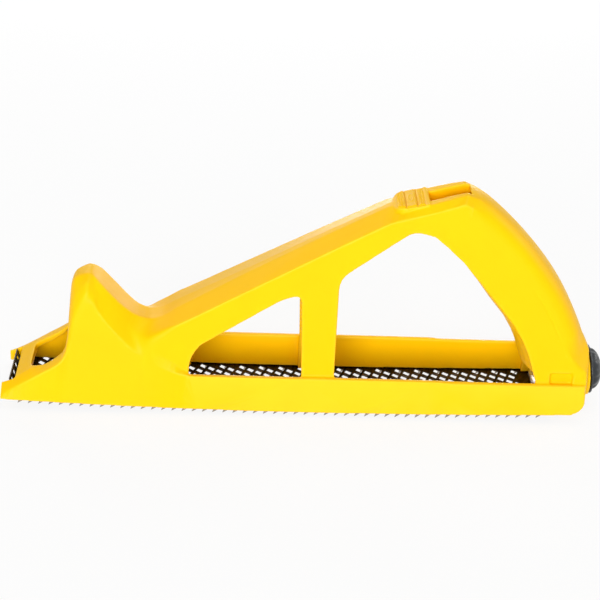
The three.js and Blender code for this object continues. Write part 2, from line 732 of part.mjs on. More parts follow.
// Rear end turned up as a tab, notched from its top for the screw
function rearTab() {
  const base = bladeTop(bladeEndX);
  const back = bladeEndX - 0.15;
  const front = back - bladeThickness;
  const half = rearTabWidth / 2;
  const tab = box(front, back, -half, half, base - bladeThickness * 0.5, base + rearTabHeight);
  const screwZ = screwSeat.z - (screwSeat.x - back) * Math.tan(lean);
  const notch = box(front - 1, back + 1, -notchWidth / 2, notchWidth / 2, screwZ - notchWidth / 2,
    base + 60);
  return tab.subtract(notch);
}

function makeBlade() {
  return perforatedPlate().add(edgeStripForm(1)).add(edgeStripForm(-1)).add(frontLip()).add(rearTab());
}

// Screw: its head sits before the hook, its shank passes the tab's notch and the heel into the knob
function makeScrew() {
  const headStart = hookStart - screwHeadHeight;
  const end = knobHeight - screwEndCover;
  const radius = screwDiameter / 2;
  const head = screwHeadDiameter / 2;
  const profile = [[0, 0], [head - 0.5, 0], [head, 0.5], [head, screwHeadHeight], [radius, screwHeadHeight],
    [radius, end - headStart - 0.6], [radius - 0.6, end - headStart], [0, end - headStart]];
  return fromGeometry(alongScrew(turned(profile, 24), headStart));
}

// Hook plate: pulled against the front of the blade's tab, with its toe bent forward
function makeHook() {
  const toeAt = screwHeadDiameter / 2 + 0.6;
  const height = hookRise + toeAt + hookThickness;
  const plate = new THREE.BoxGeometry(height, hookWidth, hookThickness);
  plate.translate(height / 2 - hookRise, 0, hookThickness / 2 + 0.05);
  const toe = new THREE.BoxGeometry(hookThickness, hookWidth, hookToe + hookThickness);
  toe.translate(toeAt + hookThickness / 2, 0, (hookThickness - hookToe) / 2 + 0.05);
  const hole = rod(screwDiameter / 2 + threadGap, hookThickness + 4, 24).translate(0, 0, -2);
  const placed = [plate, toe, hole].map((geometry) => fromGeometry(alongScrew(geometry, hookStart)));
  return placed[0].add(placed[1]).subtract(placed[2]);
}

function makeKnob() {
  const radius = knobDiameter / 2;
  const dome = new THREE.EllipseCurve(0, knobFlange, radius - 1.5, knobHeight - knobFlange, 0, Math.PI / 2);
  const rim = [[radius, 0.3], [radius, knobFlange - 0.4], [radius - 0.5, knobFlange]];
  const profile = [[0, 0], [radius - 0.4, 0], ...rim,
    ...dome.getPoints(8).map((p) => [Math.max(p.x, 0), p.y])];
  profile[profile.length - 1][0] = 0;
  const bodyForm = fromGeometry(alongScrew(turned(profile, 48), seatGap));
  const socket = rod(screwDiameter / 2 + screwClearance, knobHeight - 1.6, 24).translate(0, 0, -0.2);
  const pocketForm = nutGeometry(nutFlats / 2 + threadGap, nutThickness + 0.4).translate(0, 0, -0.2);
  let knob = bodyForm.subtract(fromGeometry(alongScrew(socket, seatGap)));
  knob = knob.subtract(fromGeometry(alongScrew(pocketForm, seatGap)));
  for (let i = 0; i < knobScallops; i += 1) {
    const turn = (i / knobScallops) * 2 * Math.PI;
    const groove = rod(scallopWidth / 2, knobHeight * 2, 10);
    groove.rotateY(0.5).translate(radius + scallopWidth * 0.18, 0, knobFlange);
    groove.rotateZ(turn);
    knob = knob.subtract(fromGeometry(alongScrew(groove, seatGap)));
  }
  return knob;
}

function nutGeometry(inradius, thickness) {
  return rod(inradius / Math.cos(Math.PI / 6), thickness, 6);
}

function makeNut() {
  const nut = fromGeometry(alongScrew(nutGeometry(nutFlats / 2, nutThickness), seatGap));
  const thread = rod(screwDiameter / 2 + threadGap, nutThickness + 4, 24).translate(0, 0, -2);
  return nut.subtract(fromGeometry(alongScrew(thread, seatGap)));
}

const pieces = [
  ['body', makeBody(), 0xffdf00, 0.38, 0],
  ['blade', makeBlade(), 0x4a4036, 0.45, 0.9],
  ['tension_hook', makeHook(), 0xb9b7b0, 0.4, 0.95],
  ['tension_screw', makeScrew(), 0xc4c2bb, 0.35, 0.95],
  ['knob', makeKnob(), 0x23292c, 0.5, 0],
  ['knob_nut', makeNut(), 0xb8924a, 0.4, 0.9],
];

// The part's own frame: centred over its footprint, with the lowest teeth on Z = 0
const whole = new THREE.Box3();
const geometries = pieces.map(([, form]) => {
  const mesh = form.getMesh();
  const geometry = new THREE.BufferGeometry();
  geometry.setAttribute('position', new THREE.BufferAttribute(new Float32Array(mesh.vertProperties), 3));
  geometry.setIndex(new THREE.BufferAttribute(new Uint32Array(mesh.triVerts), 1));
  geometry.computeBoundingBox();
  whole.union(geometry.boundingBox);
  return geometry;
});
const centre = whole.getCenter(new THREE.Vector3());

const group = new THREE.Group();
group.name = 'rasp_plane';
pieces.forEach(([name, , color, roughness, metalness], i) => {
  geometries[i].translate(-centre.x, 0, -whole.min.z);
  geometries[i].computeVertexNormals();
  const material = new THREE.MeshStandardMaterial({ color, roughness, metalness });
  const piece = new THREE.Mesh(geometries[i], material);
  piece.name = name;
  group.add(piece);
});
console.log(`shift ${(-centre.x).toFixed(3)} ${(-whole.min.z).toFixed(3)}`);

export default group;
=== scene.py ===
import math

import bmesh
import bpy
import numpy as np
from mathutils import Matrix, Vector


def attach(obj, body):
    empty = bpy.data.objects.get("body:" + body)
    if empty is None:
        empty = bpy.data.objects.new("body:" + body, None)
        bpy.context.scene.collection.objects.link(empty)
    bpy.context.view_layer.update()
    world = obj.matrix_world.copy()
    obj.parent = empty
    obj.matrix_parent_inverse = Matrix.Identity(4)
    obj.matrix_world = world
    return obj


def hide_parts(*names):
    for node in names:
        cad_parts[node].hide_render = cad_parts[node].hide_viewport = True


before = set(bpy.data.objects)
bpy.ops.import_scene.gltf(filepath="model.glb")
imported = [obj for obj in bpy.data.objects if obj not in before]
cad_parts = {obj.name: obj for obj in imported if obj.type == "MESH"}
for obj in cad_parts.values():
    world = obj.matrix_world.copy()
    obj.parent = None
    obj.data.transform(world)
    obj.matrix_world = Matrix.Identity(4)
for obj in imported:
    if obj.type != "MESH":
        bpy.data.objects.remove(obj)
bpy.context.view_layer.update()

print("frame loaded:", ", ".join(sorted(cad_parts)))

# Camera

# Metres for the place and the clipping, degrees for the angles, millimetres for lens and sensor
photoCamera = {
    "place": (-0.035081, -0.656560, 0.400037),
    "elevation": 28.0,
    "azimuth": 2.71,
    "roll": 2.93,
    "lens": 95.15,
    "sensor": 36.0,
    "clip": (0.01, 60.0),
}


def addCamera(values):
    elevation, azimuth, roll = (math.radians(values[key]) for key in ("elevation", "azimuth", "roll"))
    level = math.cos(elevation)
    forward = Vector((math.sin(azimuth) * level, math.cos(azimuth) * level, -math.sin(elevation)))
    levelRight = Vector((math.cos(azimuth), -math.sin(azimuth), 0.0))
    levelUp = levelRight.cross(forward)
    right = math.cos(roll) * levelRight + math.sin(roll) * levelUp
    up = math.cos(roll) * levelUp - math.sin(roll) * levelRight
    turned = Matrix((right, up, -forward)).transposed().to_4x4()
    data = bpy.data.cameras.new("photo_camera")
    data.lens = values["lens"]
    data.sensor_width = values["sensor"]
    data.clip_start, data.clip_end = values["clip"]
    camera = bpy.data.objects.new("photo_camera", data)
    camera.matrix_world = Matrix.Translation(values["place"]) @ turned
    bpy.context.scene.collection.objects.link(camera)
    bpy.context.scene.camera = camera


addCamera(photoCamera)
print("camera set")

# Node helpers: x and y are the node's place in the node editor


def placeNode(tree, kind, x, y, **values):
    node = tree.nodes.new(kind)
    node.location = (x, y)
    for key, value in values.items():
        setattr(node, key, value)
    return node


# An underscore in a name stands for a space in the socket's label
def setInputs(node, **values):
    for key, value in values.items():
        node.inputs[key.replace("_", " ")].default_value = value
    return node


def mathNode(tree, operation, x, y, first, second=None, third=None, clamp=False):
    node = placeNode(tree, "ShaderNodeMath", x, y, operation=operation, use_clamp=clamp)
    for socket, value in zip(node.inputs, (first, second, third)):
        if value is None:
            continue
        if isinstance(value, (int, float)):
            socket.default_value = value
        else:
            tree.links.new(value, socket)
    return node.outputs[0]


def mixColour(tree, x, y, share, first, second):
    node = placeNode(tree, "ShaderNodeMix", x, y, data_type="RGBA")
    for index, value in ((0, share), (6, first), (7, second)):
        if isinstance(value, tuple):
            node.inputs[index].default_value = value
        else:
            tree.links.new(value, node.inputs[index])
    return node.outputs[2]


def rangeNode(tree, x, y, value, low, high, toLow, toHigh, smooth=False):
    node = placeNode(tree, "ShaderNodeMapRange", x, y)
    node.interpolation_type = "SMOOTHSTEP" if smooth else "LINEAR"
    tree.links.new(value, node.inputs[0])
    for index, number in zip((1, 2, 3, 4), (low, high, toLow, toHigh)):
        node.inputs[index].default_value = number
    return node.outputs[0]


def noiseNode(tree, where, x, y, **values):
    node = setInputs(placeNode(tree, "ShaderNodeTexNoise", x, y), **values)
    tree.links.new(where, node.inputs["Vector"])
    return node


def newGroup(name, inputs, outputs):
    tree = bpy.data.node_groups.new(name, "ShaderNodeTree")
    for label, kind, value in inputs:
        socket = tree.interface.new_socket(name=label, in_out="INPUT", socket_type=kind)
        socket.default_value = value
    for label, kind in outputs:
        tree.interface.new_socket(name=label, in_out="OUTPUT", socket_type=kind)
    given = placeNode(tree, "NodeGroupInput", -900, 0)
    result = placeNode(tree, "NodeGroupOutput", 900, 0)
    return tree, given, result


# Shared surface effects

surfaceOutputs = [
    ("Colour", "NodeSocketColor"),
    ("Roughness", "NodeSocketFloat"),
    ("Normal", "NodeSocketVector"),
]

# The noises' sizes, the part of each noise that is used, and how much smoother a marked edge is
skinNoise = {
    "driftSize": 38.0,
    "driftRange": (0.3, 0.7),
    "wipeSize": 190.0,
    "wipeRange": (0.25, 0.75),
    "edgePolish": 0.12,
}


# Slow drift in shade and gloss, as moulded plastic shows, with a fine spark-eroded grain as a bump.
# Where the mesh's edge attribute is high, the colour is drawn towards a paler painted highlight and the
# surface is smoother
def makeMouldedSkin(values):
    tree, given, result = newGroup("moulded_skin", [
        ("Colour", "NodeSocketColor", (1, 1, 1, 1)),
        ("Edge Colour", "NodeSocketColor", (1, 1, 1, 1)),
        ("Edge Share", "NodeSocketFloat", 0.5),
        ("Shade Spread", "NodeSocketFloat", 0.04),
        ("Gloss", "NodeSocketFloat", 0.4),
        ("Gloss Spread", "NodeSocketFloat", 0.06),
        ("Grain Size", "NodeSocketFloat", 2200.0),
        ("Grain Depth", "NodeSocketFloat", 0.00002),
    ], surfaceOutputs)
    where = placeNode(tree, "ShaderNodeTexCoord", -900, -300).outputs["Object"]
    drift = noiseNode(tree, where, -600, 200, Scale=values["driftSize"], Detail=3.0, Roughness=0.55)
    wiped = noiseNode(tree, where, -600, -50, Scale=values["wipeSize"], Detail=5.0, Roughness=0.6)
    grain = noiseNode(tree, where, -600, -300, Detail=2.0, Roughness=0.5)
    tree.links.new(given.outputs["Grain Size"], grain.inputs["Scale"])

    lighter = rangeNode(tree, -350, 250, drift.outputs[0], *values["driftRange"], -0.5, 0.5)
    scale = mathNode(tree, "MULTIPLY_ADD", -150, 250, lighter, given.outputs["Shade Spread"], 1.0)
    edge = placeNode(tree, "ShaderNodeAttribute", -600, 500, attribute_name="edge").outputs["Fac"]
    # The edge mark mixes in the paler edge colour: a painted highlight along convex edges
    edgeHighlight = mathNode(tree, "MULTIPLY", -350, 500, edge, given.outputs["Edge Share"], clamp=True)
    colour = mixColour(tree, -100, 500, edgeHighlight, given.outputs["Colour"], given.outputs["Edge Colour"])
    tinted = placeNode(tree, "ShaderNodeVectorMath", 100, 250, operation="SCALE")
    tree.links.new(colour, tinted.inputs[0])
    tree.links.new(scale, tinted.inputs["Scale"])
    tree.links.new(tinted.outputs[0], result.inputs["Colour"])

    uneven = rangeNode(tree, -350, 0, wiped.outputs[0], *values["wipeRange"], -1.0, 1.0)
    spread = mathNode(tree, "MULTIPLY", -150, 0, uneven, given.outputs["Gloss Spread"])
    overall = mathNode(tree, "ADD", 100, 0, spread, given.outputs["Gloss"])
    polish = mathNode(tree, "MULTIPLY", 100, -120, edgeHighlight, values["edgePolish"])
    tree.links.new(mathNode(tree, "SUBTRACT", 300, 0, overall, polish), result.inputs["Roughness"])

    bump = placeNode(tree, "ShaderNodeBump", 100, -300)
    tree.links.new(given.outputs["Grain Depth"], bump.inputs["Distance"])
    tree.links.new(grain.outputs[0], bump.inputs["Height"])
    tree.links.new(bump.outputs[0], result.inputs["Normal"])
    return tree


metalNoise = {
    "blotchSize": 120.0,
    "toneRange": (0.12, 0.42),
    "glossRange": (0.25, 0.75),
}


# Metal with drawn-out rolling streaks: two tones, uneven gloss and a shallow streak bump
def makeWorkedMetal(values):
    tree, given, result = newGroup("worked_metal", [
        ("Dark Tone", "NodeSocketColor", (0.1, 0.1, 0.1, 1)),
        ("Light Tone", "NodeSocketColor", (0.3, 0.3, 0.3, 1)),
        ("Streak Length", "NodeSocketFloat", 0.12),
        ("Streak Size", "NodeSocketFloat", 900.0),
        ("Gloss", "NodeSocketFloat", 0.35),
        ("Gloss Spread", "NodeSocketFloat", 0.1),
        ("Streak Depth", "NodeSocketFloat", 0.00002),
    ], surfaceOutputs)
    where = placeNode(tree, "ShaderNodeTexCoord", -900, -300).outputs["Object"]
    squeeze = placeNode(tree, "ShaderNodeCombineXYZ", -750, -100)
    squeeze.inputs[1].default_value = 1.0
    squeeze.inputs[2].default_value = 1.0
    tree.links.new(given.outputs["Streak Length"], squeeze.inputs[0])
    drawn = placeNode(tree, "ShaderNodeVectorMath", -600, -200, operation="MULTIPLY")
    tree.links.new(where, drawn.inputs[0])
    tree.links.new(squeeze.outputs[0], drawn.inputs[1])
    streaks = noiseNode(tree, drawn.outputs[0], -400, -100, Detail=4.0, Roughness=0.6)
    tree.links.new(given.outputs["Streak Size"], streaks.inputs["Scale"])
    blotches = noiseNode(tree, where, -400, 200, Scale=values["blotchSize"], Detail=3.0)

    both = mathNode(tree, "MULTIPLY", -150, 150, streaks.outputs[0], blotches.outputs[0])
    share = rangeNode(tree, 50, 150, both, *values["toneRange"], 0.0, 1.0, smooth=True)
    colour = mixColour(tree, 300, 200, share, given.outputs["Dark Tone"], given.outputs["Light Tone"])
    tree.links.new(colour, result.inputs["Colour"])

    uneven = rangeNode(tree, -150, -50, streaks.outputs[0], *values["glossRange"], -1.0, 1.0)
    spread = mathNode(tree, "MULTIPLY", 50, -50, uneven, given.outputs["Gloss Spread"])
    roughness = mathNode(tree, "ADD", 300, -50, spread, given.outputs["Gloss"])
    tree.links.new(roughness, result.inputs["Roughness"])

    bump = placeNode(tree, "ShaderNodeBump", 300, -300)
    tree.links.new(given.outputs["Streak Depth"], bump.inputs["Distance"])
    tree.links.new(streaks.outputs[0], bump.inputs["Height"])
    tree.links.new(bump.outputs[0], result.inputs["Normal"])
    return tree


mouldedSkin = makeMouldedSkin(skinNoise)
workedMetal = makeWorkedMetal(metalNoise)


def newMaterial(name, group, groupValues, shaderValues):
    material = bpy.data.materials.new(name)
    material.use_nodes = True
    tree = material.node_tree
    shader = tree.nodes["Principled BSDF"]
    setInputs(shader, **shaderValues)
    effect = placeNode(tree, "ShaderNodeGroup", -400, 100, node_tree=group)
    setInputs(effect, **groupValues)
    tree.links.new(effect.outputs["Colour"], shader.inputs["Base Color"])
    tree.links.new(effect.outputs["Roughness"], shader.inputs["Roughness"])
    tree.links.new(effect.outputs["Normal"], shader.inputs["Normal"])
    return material, effect, shader


# Finishes

# Each finish's edge colour is a painted highlight, mixed in where a mesh's edge mark is high
yellowFinish = {
    "Colour": (1.0, 0.565, 0.0, 1), "Edge_Colour": (1.0, 0.66, 0.04, 1), "Edge_Share": 0.35,
    "Shade_Spread": 0.05, "Gloss": 0.44, "Gloss_Spread": 0.05,
    "Grain_Size": 2600.0, "Grain_Depth": 0.000018,
}
blackFinish = {
    "Colour": (0.008, 0.011, 0.013, 1), "Edge_Colour": (0.06, 0.062, 0.062, 1), "Edge_Share": 0.6,
    "Shade_Spread": 0.3, "Gloss": 0.36, "Gloss_Spread": 0.08,
    "Grain_Size": 1800.0, "Grain_Depth": 0.00003,
}
platedFinish = {
    "Dark_Tone": (0.50, 0.49, 0.46, 1), "Light_Tone": (0.78, 0.77, 0.74, 1),
    "Streak_Length": 0.6, "Streak_Size": 700.0, "Streak_Depth": 0.00001,
    "Gloss": 0.3, "Gloss_Spread": 0.08,
}
brassFinish = {
    "Dark_Tone": (0.48, 0.32, 0.10, 1), "Light_Tone": (0.74, 0.54, 0.22, 1),
    "Streak_Length": 1.0, "Streak_Size": 500.0, "Streak_Depth": 0.00001,
    "Gloss": 0.32, "Gloss_Spread": 0.08,
}
bladeFinish = {
    "Dark_Tone": (0.030, 0.022, 0.014, 1), "Light_Tone": (0.085, 0.064, 0.040, 1),
    "Streak_Length": 0.1, "Streak_Size": 1100.0, "Streak_Depth": 0.00002,
    "Gloss": 0.38, "Gloss_Spread": 0.1,
}
softPlastic = {"IOR": 1.5, "Specular_IOR_Level": 0.1}
hardPlastic = {"IOR": 1.5}
bareMetal = {"Metallic": 1.0}

yellowMoulding = newMaterial("yellow_moulding", mouldedSkin, yellowFinish, softPlastic)[0]
blackMoulding = newMaterial("black_moulding", mouldedSkin, blackFinish, hardPlastic)[0]
platedSteel = newMaterial("plated_steel", workedMetal, platedFinish, bareMetal)[0]
brassInsert = newMaterial("brass_insert", workedMetal, brassFinish, bareMetal)[0]

# The sole's top is at plateTop over its middle X, and rises by bend times the squared distance from there,
# with one bend ahead of the middle and one behind. Below is the depth from which a tooth counts as ground
groundTeeth = {
    "grey": (0.42, 0.37, 0.31, 1),
    "share": 0.8,
    "below": 0.0008,
    "blur": 0.0002,
    "middle": -0.0096,
    "plateTop": 0.0030,
    "frontBend": 0.1667,
    "rearBend": 0.119,
    "bendChange": 0.0001,
}


# Dark tempered steel; where a tooth reaches below the plate it is ground bright.
# The depth under the plate is the sole's curve at this X less the point's own height
def makeBladeSteel(values):
    material, effect, shader = newMaterial("blade_steel", workedMetal, bladeFinish, bareMetal)
    tree = material.node_tree
    where = placeNode(tree, "ShaderNodeTexCoord", -1300, -200).outputs["Object"]
    parts = placeNode(tree, "ShaderNodeSeparateXYZ", -1100, -200)
    tree.links.new(where, parts.inputs[0])
    along = mathNode(tree, "ADD", -900, -100, parts.outputs[0], -values["middle"])
    squared = mathNode(tree, "MULTIPLY", -750, -100, along, along)
    bend = rangeNode(tree, -750, 50, along, -values["bendChange"], values["bendChange"],
                     values["frontBend"], values["rearBend"])
    curveHeight = mathNode(tree, "MULTIPLY", -600, -100, squared, bend)
    plateTop = mathNode(tree, "ADD", -450, -100, curveHeight, values["plateTop"])
    depth = mathNode(tree, "SUBTRACT", -300, -200, plateTop, parts.outputs[2])
    mask = rangeNode(tree, -150, -200, depth, values["below"] - values["blur"],
                     values["below"] + values["blur"], 0.0, values["share"], smooth=True)
    colour = mixColour(tree, -50, 200, mask, effect.outputs["Colour"], values["grey"])
    tree.links.new(colour, shader.inputs["Base Color"])
    return material


bladeSteel = makeBladeSteel(groundTeeth)
print("finishes made")

# Mesh helpers


def addPiece(name, mesh, body, material):
    piece = bpy.data.objects.new(name, mesh)
    bpy.context.scene.collection.objects.link(piece)
    piece.data.materials.clear()
    piece.data.materials.append(material)
    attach(piece, body)
    return piece


# The CAD node's loose triangles as one welded mesh
def weldedMesh(node, gap=1e-6, speck=1e-7):
    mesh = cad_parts[node].data.copy()
    work = bmesh.new()
    work.from_mesh(mesh)
    bmesh.ops.remove_doubles(work, verts=work.verts, dist=gap)
    bmesh.ops.dissolve_degenerate(work, edges=work.edges, dist=speck)
    work.to_mesh(mesh)
    work.free()
    return mesh


# Joins the points that meet at a grid's poles and turns every face outward
def closePoles(mesh, gap=1e-7):
    work = bmesh.new()
    work.from_mesh(mesh)
    bmesh.ops.remove_doubles(work, verts=work.verts, dist=gap)
    bmesh.ops.recalc_face_normals(work, faces=work.faces)
    work.to_mesh(mesh)
    work.free()


# The piece's mesh with its modifiers worked in
def applied(piece):
    bpy.context.view_layer.update()
    dressed = piece.evaluated_get(bpy.context.evaluated_depsgraph_get())
    finished = bpy.data.meshes.new_from_object(dressed)
    piece.modifiers.clear()
    piece.data = finished
    return finished


def pointsOf(mesh):
    points = np.empty(len(mesh.vertices) * 3)
    mesh.vertices.foreach_get("co", points)
    return points.reshape(-1, 3)


def edgesOf(mesh):
    ends = np.empty(len(mesh.edges) * 2, dtype=np.int64)
    mesh.edges.foreach_get("vertices", ends)
    return ends.reshape(-1, 2)


# Each point moves by one share after another of the way to the mean of its neighbours.
# A negative share moves it back, so that edges round and the size stays
def relaxed(points, edges, shares, weight=None):
    one, two = edges.T
    many = len(points)
    count = np.bincount(one, minlength=many) + np.bincount(two, minlength=many)
    held = np.ones(many) if weight is None else weight
    for share in shares:
        total = np.stack([np.bincount(one, points[two, k], many) + np.bincount(two, points[one, k], many)
                          for k in range(3)], axis=1)
        points += share * held[:, None] * (total / np.maximum(count, 1)[:, None] - points)
    return points


# How far each point stands out from a much smoother copy of the mesh, as a share of the given height
def markEdges(mesh, rounds, height, share=0.6, least=0.3):
    points = pointsOf(mesh)
    smooth = relaxed(points.copy(), edgesOf(mesh), [share] * rounds)
    normals = np.empty(len(points) * 3)
    mesh.vertex_normals.foreach_get("vector", normals)
    proud = ((points - smooth) * normals.reshape(-1, 3)).sum(axis=1)
    mark = mesh.attributes.new("edge", "FLOAT", "POINT")
    mark.data.foreach_set("value", np.clip(proud / height - least, 0, 1).astype(np.float32))


# 0 to 1 with a level start and end: three times the square less twice the cube
def eased(share):
    return share * share * (3.0 - 2.0 * share)


# A place where the moulding flows: its points relax many times, and less towards the rim of an ellipsoid
def softened(points, edges, centre, reach, rounds, share=0.6):
    distance = np.sqrt((((points - centre) / reach) ** 2).sum(axis=1))
    weight = eased(np.clip(1.0 - distance, 0.0, 1.0))
    near = np.flatnonzero(weight > 0)
    place = np.full(len(points), -1)
    place[near] = np.arange(len(near))
    local = place[edges]
    local = local[(local >= 0).all(axis=1)]
    inside = np.bincount(local.ravel(), minlength=len(near))
    full = np.bincount(edges.ravel(), minlength=len(points))[near]
    held = np.where(inside == full, weight[near], 0.0)
    points[near] = relaxed(points[near].copy(), local, [share] * rounds, held)


def smoothFaces(mesh, sharpAngle=None):
    mesh.polygons.foreach_set("use_smooth", np.ones(len(mesh.polygons), dtype=bool))
    if sharpAngle is not None:
        mesh.set_sharp_from_angle(angle=math.radians(sharpAngle))
    mesh.update()


# A mesh from a rows x columns array of points; closedRound joins the last column to the first
def gridMesh(name, points, closedRound=False):
    rows, columns = points.shape[:2]
    at = np.arange(rows * columns).reshape(rows, columns)
    after = np.roll(at, -1, axis=1) if closedRound else at[:, 1:]
    first = at if closedRound else at[:, :-1]
    faces = np.stack([first[:-1], after[:-1], after[1:], first[1:]], axis=-1).reshape(-1, 4)
    mesh = bpy.data.meshes.new(name)
    mesh.from_pydata(points.reshape(-1, 3).tolist(), [], faces.tolist())
    mesh.update()
    return mesh


# Body

# Flowing and settling list the (centre, reach, rounds) of places that are softened before and after the back
# takes its shape. A place off the middle plane is softened on both sides
bodyShell = {
    "voxel": 0.00045,
    "rounds": 12,
    "shares": (0.5, -0.52),
    "triangles": 185000,
    "skinGap": 0.00002,
    "edgeRounds": 12,
    "edgeHeight": 0.0002,
    "flowing": [
        ((-0.0740, 0.0190, 0.0400), (0.015, 0.014, 0.014), 90),
        ((0.0850, 0.0180, 0.0520), (0.045, 0.014, 0.050), 14),
        ((-0.1060, 0.0090, 0.0530), (0.009, 0.014, 0.022), 60),
    ],
    "settling": [
        ((0.1150, 0.0000, 0.0660), (0.060, 0.060, 0.070), 8),
        ((0.1315, 0.0185, 0.0295), (0.011, 0.010, 0.009), 40),
    ],
}

# The ridge is a curve of the given degree through (X, Z) points, from the top down to the heel.
# Start and end are the shares of it over which the rounding comes in and goes out, margin is how far ahead
# of the ridge and under it points are still looked at, and outside how far beyond it a point may lie
handleBack = {
    "ridge": [(0.0690, 0.1105), (0.0751, 0.1083), (0.0881, 0.0996), (0.1004, 0.0875),
              (0.1119, 0.0712), (0.1202, 0.0604), (0.1275, 0.0471), (0.1348, 0.0315)],
    "degree": 4,
    "steps": 600,
    "coarse": 6,
    "refinings": 3,
    "depth": 0.0105,
    "fullness": 2.7,
    "wallAtRail": 0.0195,
    "railTop": 0.0203,
    "draft": 0.077,
    "start": (0.05, 0.22),
    "end": (0.86, 1.0),
    "margin": (0.004, 0.006),
    "outside": 0.003,
}


# The ridge's points and its unit direction at each, with the length of one step
def ridgeLine(values):
    ridge = np.array(values["ridge"])
    given = np.linspace(0, 1, len(ridge))
    fine = np.linspace(0, 1, values["steps"])
    fits = [np.polyfit(given, ridge[:, k], values["degree"]) for k in (0, 1)]
    line = np.stack([np.polyval(fit, fine) for fit in fits], axis=1)
    step = np.gradient(line, axis=0)
    spacing = np.linalg.norm(step, axis=1)
    return line, step / spacing[:, None], spacing


# Where along the line each point's foot falls, in steps: the nearest coarse point, then moved along the line
# by the point's offset until the offset stands square to it
def footPlace(flat, line, direction, spacing, values):
    coarse = values["coarse"]
    nearest = ((flat[:, None, :] - line[None, ::coarse, :]) ** 2).sum(axis=2).argmin(axis=1) * coarse
    place = nearest.astype(float)
    for _ in range(values["refinings"]):
        whole = np.clip(np.rint(place).astype(int), 0, len(line) - 1)
        offset = flat - line[whole]
        place = whole + (offset * direction[whole]).sum(axis=1) / spacing[whole]
    return place


# The handle's back takes a D-shaped section: a point at half-width y and depth d under the ridge is drawn
# along its ray from the section's middle to where the sum of (y / wall) and ((depth - d) / depth), each to
# the power of the fullness, is 1
def roundedBack(points, values):
    line, direction, spacing = ridgeLine(values)
    ahead, under = values["margin"]
    top, heel = values["ridge"][0], values["ridge"][-1]
    near = np.flatnonzero((points[:, 0] > top[0] - ahead) & (points[:, 2] > heel[1] - under))
    flat = points[near][:, [0, 2]]
    place = footPlace(flat, line, direction, spacing, values)
    count = np.arange(len(line))
    forward = np.stack([np.interp(place, count, direction[:, k]) for k in (0, 1)], axis=1)
    foot = np.stack([np.interp(place, count, line[:, k]) for k in (0, 1)], axis=1)
    outward = np.stack([-forward[:, 1], forward[:, 0]], axis=1)
    depth = -((flat - foot) * outward).sum(axis=1)
    rise = values["depth"] - depth
    wall = values["wallAtRail"] - values["draft"] * (points[near, 2] - values["railTop"])
    power = values["fullness"]
    shape = (np.abs(points[near, 1]) / wall) ** power + (np.maximum(rise, 0) / values["depth"]) ** power
    scale = 1 / np.maximum(shape, 1e-6) ** (1 / power)

    share = place / (len(line) - 1)
    start, end = values["start"], values["end"]
    weight = np.clip((share - start[0]) / (start[1] - start[0]), 0, 1)
    weight *= np.clip((end[1] - share) / (end[1] - end[0]), 0, 1)
    weight = eased(weight)
    weight *= (rise > 0) & (depth > -values["outside"])
    grown = 1 + weight * (scale - 1)
    moved = foot - outward * (values["depth"] - rise * grown)[:, None]
    points[near, 1] *= grown
    points[near, 0] = np.where(weight > 0, moved[:, 0], points[near, 0])
    points[near, 2] = np.where(weight > 0, moved[:, 1], points[near, 2])


# Each groove and the lip run from one (X, Z) to another
padTop = {
    "grooves": [((0.0405, 0.10378), (0.0425, 0.10403)), ((0.0455, 0.10487), (0.0475, 0.10505))],
    "grooveFill": 0.7,
    "lip": ((0.0496, 0.10562), (0.0524, 0.10638)),
    "lipDrop": 0.6,
    "halfWidth": 0.0104,
    "reach": 0.0008,
    "fade": 0.0003,
}


# The points between two places of the pad, and how far each stands above the line that joins them
def overLine(points, start, end, halfWidth):
    between = (points[:, 0] > start[0]) & (points[:, 0] < end[0])
    near = np.flatnonzero(between & (np.abs(points[:, 1]) < halfWidth))
    return near, points[near, 2] - np.interp(points[near, 0], [start[0], end[0]], [start[1], end[1]])


# The pad's grooves are filled by a share of their depth under the line between their rims, and the lip behind
# them is drawn down by a share of its height over its own line
def calmedPad(points, values):
    for start, end in values["grooves"]:
        near, above = overLine(points, start, end, values["halfWidth"])
        fill = np.clip((above + values["reach"]) / values["fade"], 0, 1) * (above < 0) * values["grooveFill"]
        points[near, 2] -= above * fill
    near, above = overLine(points, *values["lip"], values["halfWidth"])
    points[near, 2] -= above * ((above > 0) * values["lipDrop"])


# Each place as arrays, and its mirror image where it lies off the middle plane
def bothSides(places):
    for (x, y, z), reach, rounds in places:
        for side in ((y, -y) if y else (y,)):
            yield np.array((x, side, z)), np.array(reach), rounds


# The moulding as an even skin of small squares, relaxed so that its edges round, shaped at the places above,
# kept inside the source's bounds and thinned to the given number of triangles
def makeBodyShell(values):
    piece = addPiece("body_shell", weldedMesh("body"), "body", yellowMoulding)
    source = pointsOf(piece.data)
    lowest = source.min(axis=0) + values["skinGap"]
    highest = source.max(axis=0) - values["skinGap"]
    remesh = piece.modifiers.new("even_skin", "REMESH")
    remesh.mode = "VOXEL"
    remesh.voxel_size = values["voxel"]
    even = applied(piece)
    edges = edgesOf(even)
    points = relaxed(pointsOf(even), edges, list(values["shares"]) * values["rounds"])
    for centre, reach, rounds in bothSides(values["flowing"]):
        softened(points, edges, centre, reach, rounds)
    roundedBack(points, handleBack)
    calmedPad(points, padTop)
    for centre, reach, rounds in bothSides(values["settling"]):
        softened(points, edges, centre, reach, rounds)
    even.vertices.foreach_set("co", np.clip(points, lowest, highest).ravel())
    even.update()
    triangles = len(even.polygons) * 2
    thin = piece.modifiers.new("thin_out", "DECIMATE")
    thin.ratio = min(1.0, values["triangles"] / triangles)
    final = applied(piece)
    final.materials.clear()
    final.materials.append(yellowMoulding)
    # The edge mark places the moulded skin's painted highlight along the convex edges
    markEdges(final, values["edgeRounds"], values["edgeHeight"])
    smoothFaces(final)
    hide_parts("body")
    print("body shell:", triangles, "triangles thinned to", len(final.polygons))


makeBodyShell(bodyShell)

